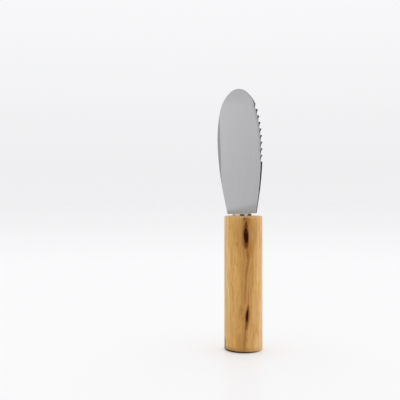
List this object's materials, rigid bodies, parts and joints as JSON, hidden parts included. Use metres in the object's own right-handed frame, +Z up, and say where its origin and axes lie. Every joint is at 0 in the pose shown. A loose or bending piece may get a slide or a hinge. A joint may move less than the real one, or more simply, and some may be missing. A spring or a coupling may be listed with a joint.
{
  "type": "butter knife",
  "caption": "Butter knife with a broad, part-serrated steel spreading blade in a turned wooden handle that stands on its flat foot.",
  "frame": {"origin": "centre of the handle's flat foot, on the handle's axis", "axes": "+Z up along the handle's axis towards the blade; +X towards the serrated edge; -Y out of the face with the bevel"},
  "size_m": [0.026, 0.022, 0.1503],
  "materials": {
    "handle_wood": "sanded and lightly oiled",
    "collar_steel": "polished",
    "blade_steel": "fine satin, brushed along the blade",
    "cured_adhesive": "clear amber, matte"
  },
  "bodies": {
    "root": {"handle": "handle_wood", "collar": "collar_steel", "blade": "blade_steel", "adhesive": "cured_adhesive"}
  },
  "joints": []
}
